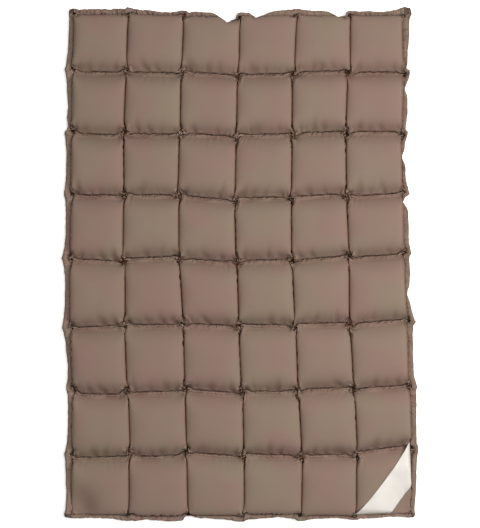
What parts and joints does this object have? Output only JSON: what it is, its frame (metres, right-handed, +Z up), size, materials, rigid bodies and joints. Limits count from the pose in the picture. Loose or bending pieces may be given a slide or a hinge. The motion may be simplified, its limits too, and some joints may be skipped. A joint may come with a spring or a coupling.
{
  "type": "quilted duvet",
  "caption": "Child's duvet lying flat, filled in stitched squares, with a folded hem around it and a ribbon label across one corner.",
  "frame": {"origin": "middle of the duvet in plan, on the surface that it lies on", "axes": "+X across the duvet, +Y towards its head, which is the end without the label, +Z up"},
  "size_m": [0.947, 1.368, 0.0435],
  "materials": {
    "cotton_cover": "matt woven cotton",
    "satin_label": "satin ribbon"
  },
  "bodies": {
    "root": {"duvet_body": "cotton_cover", "corner_label": "satin_label"}
  },
  "joints": []
}
